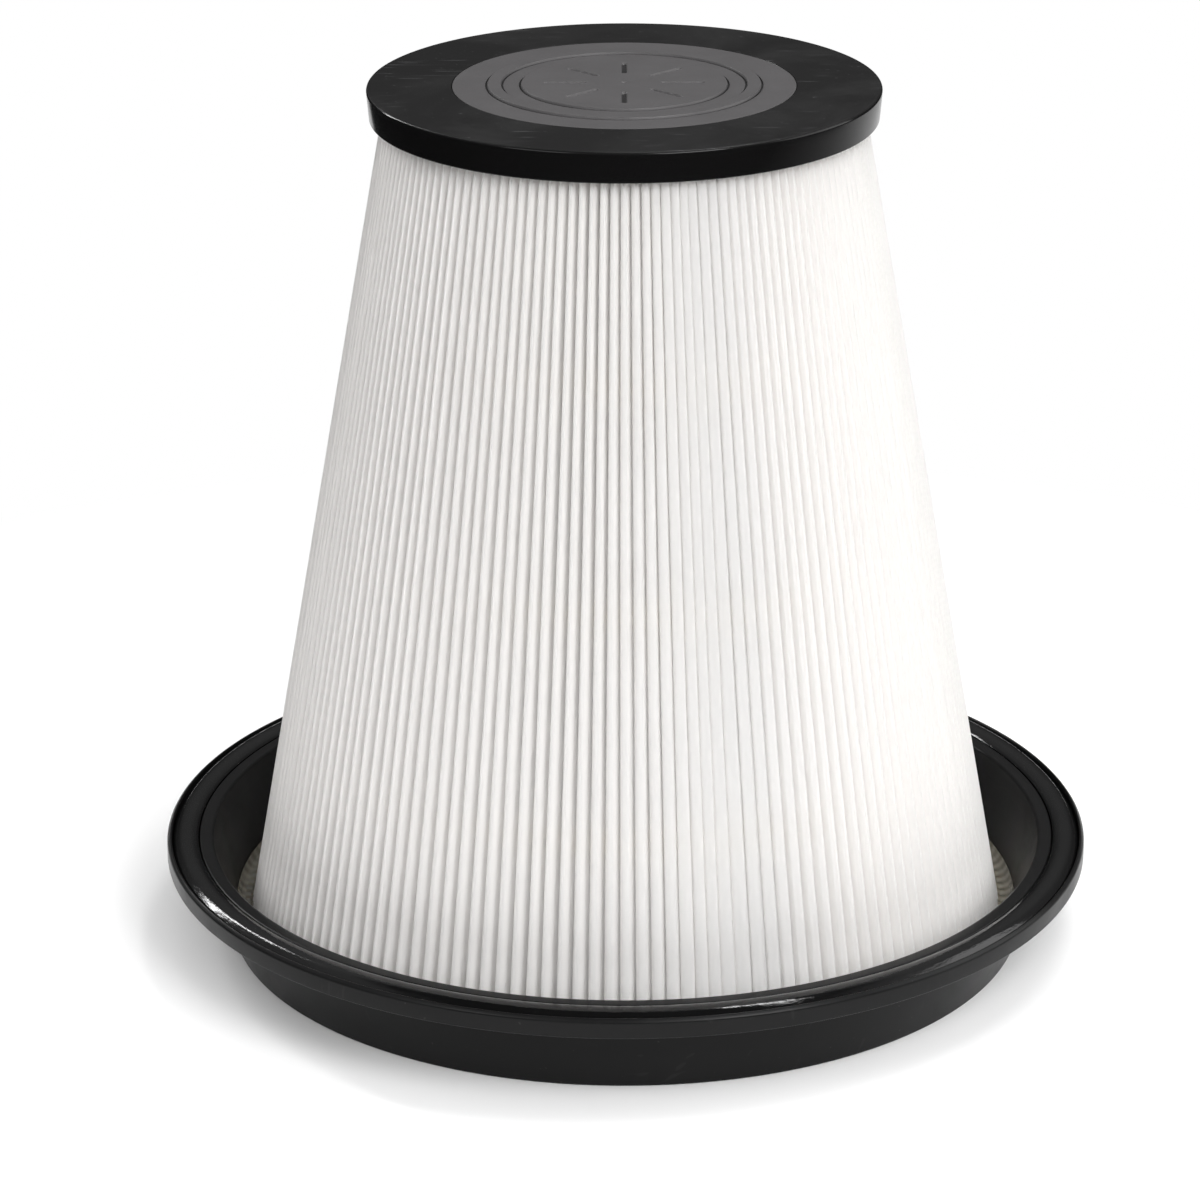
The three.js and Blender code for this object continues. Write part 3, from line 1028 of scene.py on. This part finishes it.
# Each step's radius and its low side, where a sunk line runs: 1 outwards, -1 inwards.
DISC_STEPS = ((CENTRE_EDGE, 1), (RING_INNER, -1), (RING_OUTER, 1))
LINE_OFFSET = 0.55  # from the step to the middle of its line
STEP_STATIONS = (-0.55, -0.32, -0.2, -0.08, 0.08, 0.2, 0.35, 0.55, 0.75, 0.9, 1.05)
SPOKES = 8


def ease(x):
    x = np.clip(x, 0, 1)
    return x * x * (3 - 2 * x)


def disc_height(r, theta):
    """Height of the disc's face above its outer band."""
    rise = DISC_HIGH[2] - CAP_TOP
    blend, half_blend = 0.5, 0.25  # width of each step's slope
    height = np.zeros_like(theta)
    height = height + rise * ease((CENTRE_EDGE + half_blend - r) / blend)
    ring_inside = ease((r - RING_INNER + half_blend) / blend)
    height = height + rise * ease((RING_OUTER + half_blend - r) / blend) * ring_inside
    # short radial grooves with round ends
    spoke = TAU / SPOKES
    angle = (theta + spoke / 2) % spoke - spoke / 2
    x, y = r * np.cos(angle), r * np.sin(angle)
    distance = np.hypot(x - np.clip(x, 19.0, 37.0), y)
    height = height - 1.3 * ease((1.45 - distance) / 0.5)
    for edge, side in DISC_STEPS:
        height = height - 0.8 * ease((0.55 - abs(r - (edge + side * LINE_OFFSET))) / 0.22)
    # small dimple in the middle
    return height - 0.5 * ease((1.7 - r) / 0.7)


def build_disc():
    """Polar height field: flush outer band, raised ring and raised centre; flat underneath."""
    radii = [0.0, 0.5, 0.9, 1.2, 1.5, 1.8, 2.4]
    radii += list(np.arange(3.5, 14.0, 1.5))
    radii += list(np.arange(14.0, 41.0, 0.5))
    radii += list(np.arange(41.0, 48.0, 1.4))
    for edge, side in DISC_STEPS:
        radii += [edge + side * station for station in STEP_STATIONS]
    radii += [51, 53.5, 56, 60.5, 62, 63.5, 67, 70, 73, 76, 79, 80.6, 81.2, 81.5]
    radii = sorted(set(round(x, 3) for x in radii))
    segments = 720
    angles = np.arange(segments) / segments * TAU
    bottom = DISC_LOW[2]

    verts = [(0, 0, CAP_TOP + disc_height(0.0, np.zeros(1))[0])]
    for r in radii[1:]:
        heights = disc_height(r, angles)
        verts += [
            (r * math.cos(t), r * math.sin(t), CAP_TOP + h - 0.01)
            for t, h in zip(angles, heights)
        ]
    # rounded rim, side and flat bottom: r, z
    tail = [
        (DISC_RADIUS - 0.05, CAP_TOP - 0.06),
        (DISC_RADIUS, CAP_TOP - 0.25),
        (DISC_RADIUS, bottom + 0.3),
        (DISC_RADIUS - 0.3, bottom),
        (60.0, bottom),
        (30.0, bottom),
    ]
    for r, z in tail:
        verts += [(r * math.cos(t), r * math.sin(t), z) for t in angles]
    verts.append((0, 0, bottom))

    rings = len(radii) - 1 + len(tail)
    last, end = 1 + (rings - 1) * segments, len(verts) - 1
    faces = [(0, 1 + j, 1 + (j + 1) % segments) for j in range(segments)]
    faces += (lattice_quads(rings, segments, flip=True) + 1).tolist()
    faces += [(end, last + (j + 1) % segments, last + j) for j in range(segments)]
    return mesh_object("disc_plate", np.array(verts) * MM, faces, sharp_angle=40.0)


# --------------------------------------------------------------- assembly
def place(ob, slot, node):
    ob.data.materials.append(MATERIALS[slot])
    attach(ob, ROOT)
    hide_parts(node)


place(build_dish(), "dish_plastic", "flange_dish")
place(build_seal(), "seal_rubber", "rim_seal")
place(build_base_resin(), "potting_resin", "base_potting")
FOLDS = make_folds()
place(build_pleats(FOLDS), "filter_media", "pleat_pack")
place(build_seam(FOLDS), "seam_glue", "pack_seam_strip")
for level, bead_seed in (("lower", 51), ("middle", 52), ("upper", 53)):
    bead_node = "spacer_bead_" + level
    place(build_bead("melt_bead_" + level, bead_node, bead_seed), "hot_melt", bead_node)
place(build_core(), "core_steel", "support_core")
place(build_cap_resin(), "potting_resin", "cap_potting")
place(build_cap(), "cap_plastic", "end_cap")
place(build_disc(), "disc_plastic", "end_disc")


# ----------------------------------------------------------- floor (metres)
FLOOR_OUTLINE = [(-0.62, -0.8), (1.35, -0.8), (1.35, 3.0), (-0.62, 3.0)]  # x, y
FLOOR_HOLE = 0.186
FLOOR_Z = -0.0002


def floor_edge(theta):
    """Where a ray from the origin meets the floor's outline."""
    ray_x, ray_y = math.cos(theta), math.sin(theta)
    nearest = 9.0
    for (ax, ay), (bx, by) in zip(FLOOR_OUTLINE, FLOOR_OUTLINE[1:] + FLOOR_OUTLINE[:1]):
        side_x, side_y = bx - ax, by - ay
        cross = ray_x * side_y - ray_y * side_x
        if abs(cross) < 1e-9:
            continue
        distance = (ax * side_y - ay * side_x) / cross
        along = (ax * ray_y - ay * ray_x) / cross
        if distance > 0 and -1e-9 <= along <= 1 + 1e-9:
            nearest = min(nearest, distance)
    return nearest * ray_x, nearest * ray_y


def make_floor_material():
    material = bpy.data.materials.new("floor_look")
    graph = Graph(material)
    camera_ray = graph.node("ShaderNodeLightPath").outputs["Is Camera Ray"]
    length = graph.node("ShaderNodeVectorMath", {0: graph.coords()}, operation="LENGTH")
    distance = length.outputs["Value"]
    # to all but the camera, the far floor is dim in front and pale behind the part
    y = graph.split(graph.coords())[1]
    back = graph.ramp(graph.span(y, start=0.5, reach=0.5), 0.27, 0.97)
    far = graph.ramp(distance, 0.5, 0.8)
    far = graph.multiply(far, graph.subtract(1.0, camera_ray))
    light = graph.subtract(1.0, graph.multiply(far, graph.subtract(1.0, back)))
    cloud = graph.noise(graph.coords(), scale=3.0, detail=3.0)
    pale = graph.mix(cloud, (0.92, 0.92, 0.92, 1), (0.94, 0.94, 0.94, 1))
    color = graph.mix(light, (0, 0, 0, 1), pale)
    matt = graph.node("ShaderNodeBsdfDiffuse", {"Color": color})
    # towards its edges the floor fades into the white surround, as the camera sees it
    fade = graph.multiply(graph.ramp(distance, 0.42, 0.7), camera_ray)
    white = graph.node("ShaderNodeEmission")
    blend = graph.mix_shader(fade, matt.outputs[0], white.outputs[0])
    clear = graph.node("ShaderNodeBsdfTransparent")
    backfacing = graph.node("ShaderNodeNewGeometry").outputs["Backfacing"]
    graph.surface(graph.mix_shader(backfacing, blend, clear.outputs[0]))
    return material


def build_floor():
    """A pale table top with a round hole under the part, seen only from above, so that the open
    underside can be looked at and lit from below. It runs further back than forward."""
    segments, rings = 192, 6
    verts = []
    for k in range(rings):
        share = (k / (rings - 1)) ** 2
        for j in range(segments):
            theta = (j + 0.5) / segments * TAU
            edge_x, edge_y = floor_edge(theta)
            x, y = FLOOR_HOLE * math.cos(theta), FLOOR_HOLE * math.sin(theta)
            verts.append((x + (edge_x - x) * share, y + (edge_y - y) * share, FLOOR_Z))
    mesh = bpy.data.meshes.new("floor")
    mesh.from_pydata(verts, [], lattice_quads(rings, segments, flip=True).tolist())
    ob = add_object("floor", mesh)
    mesh.materials.append(make_floor_material())


build_floor()

# ---------------------------------------------------------- lights (metres)
LIGHT_TARGET = Vector((0, 0, 0.2))
# name, azimuth (degrees from the front towards the right), elevation (degrees),
# distance, width, height, power (W)
LIGHTS = (
    ("key_box", 31, 36, 2.1, 1.0, 1.0, 25.5),
    ("right_panel", 94, 24, 1.8, 1.3, 1.1, 11.5),
    ("overhead_strip", 122, 72, 1.9, 1.3, 0.12, 13),
    ("left_strip", -125, 30, 1.7, 0.14, 0.8, 9),
    ("left_fill", -40, 34, 2.2, 1.0, 1.0, 9),
    ("front_fill", 8, 24, 3.0, 2.2, 1.8, 42),
)


def add_light(name, azimuth, elevation, distance, width, height, power):
    a, e = math.radians(azimuth), math.radians(elevation)
    direction = Vector((math.sin(a) * math.cos(e), -math.cos(a) * math.cos(e), math.sin(e)))
    data = bpy.data.lights.new(name, "AREA")
    data.shape = "RECTANGLE"
    data.size, data.size_y = width, height
    data.energy = power
    ob = add_object(name, data)
    ob.location = direction * distance + LIGHT_TARGET
    ob.rotation_mode = "QUATERNION"
    position = direction * distance + LIGHT_TARGET
    ob.rotation_quaternion = (LIGHT_TARGET - position).to_track_quat("-Z", "Y")
    return ob


lights = {row[0]: add_light(*row) for row in LIGHTS}
lights["front_fill"].visible_glossy = False  # a soft lift only, with no reflection of its own


# -------------------------------------------------------------------- world
def build_world():
    """White to the camera; to the part a dim room, paler overhead and straight below."""
    world = bpy.data.worlds.new("studio")
    scene.world = world
    graph = Graph(world, "ShaderNodeOutputWorld")
    path = graph.node("ShaderNodeLightPath")
    z = graph.split(graph.node("ShaderNodeTexCoord").outputs["Generated"])[2]
    up = graph.math("MAXIMUM", z, 0.0)
    down = graph.math("MAXIMUM", graph.multiply(z, -1.0), 0.0)
    down = graph.math("POWER", down, 8.0)
    light = graph.span(up, start=0.02, reach=0.12)
    light = graph.add(light, graph.multiply(graph.multiply(up, up), 0.65))
    light = graph.add(light, graph.multiply(down, 0.8))
    # reflections see a dark ceiling straight overhead
    dark = graph.multiply(graph.ramp(z, 0.80, 0.88), 0.97)
    dark = graph.multiply(dark, path.outputs["Is Glossy Ray"])
    light = graph.multiply(light, graph.subtract(1.0, dark))
    room, backdrop = (
        graph.node("ShaderNodeBackground", {0: (1, 1, 1, 1), 1: strength}).outputs[0]
        for strength in (light, 1.0)
    )
    graph.surface(graph.mix_shader(path.outputs["Is Camera Ray"], room, backdrop))


build_world()

# ----------------------------------------------------------------- camera
CAMERA_DISTANCE, CAMERA_HEIGHT = 2.14904, 0.98363  # metres, in front of the axis and up
CAMERA_PITCH, CAMERA_YAW, CAMERA_ROLL = 0.36216, -0.00576, 0.00354  # radians; pitch is down
CAMERA_LENS, CAMERA_SENSOR = 139.3869, 36.0


def build_camera():
    data = bpy.data.cameras.new("camera")
    camera = add_object("camera", data)
    data.sensor_fit = "HORIZONTAL"
    data.sensor_width = CAMERA_SENSOR
    data.lens = CAMERA_LENS
    data.clip_start, data.clip_end = 0.05, 50.0
    level = math.cos(CAMERA_PITCH)
    sin_yaw, cos_yaw = math.sin(CAMERA_YAW), math.cos(CAMERA_YAW)
    forward = Vector((sin_yaw * level, cos_yaw * level, -math.sin(CAMERA_PITCH)))
    right = Vector((cos_yaw, -sin_yaw, 0))
    down = forward.cross(right)
    sin_roll, cos_roll = math.sin(CAMERA_ROLL), math.cos(CAMERA_ROLL)
    rolled_right = right * cos_roll + down * sin_roll
    rolled_down = right * -sin_roll + down * cos_roll
    rotation = Matrix((rolled_right, -rolled_down, -forward)).transposed()
    position = Matrix.Translation((0, -CAMERA_DISTANCE, CAMERA_HEIGHT))
    camera.matrix_world = position @ rotation.to_4x4()
    scene.camera = camera


build_camera()

bpy.context.view_layer.update()
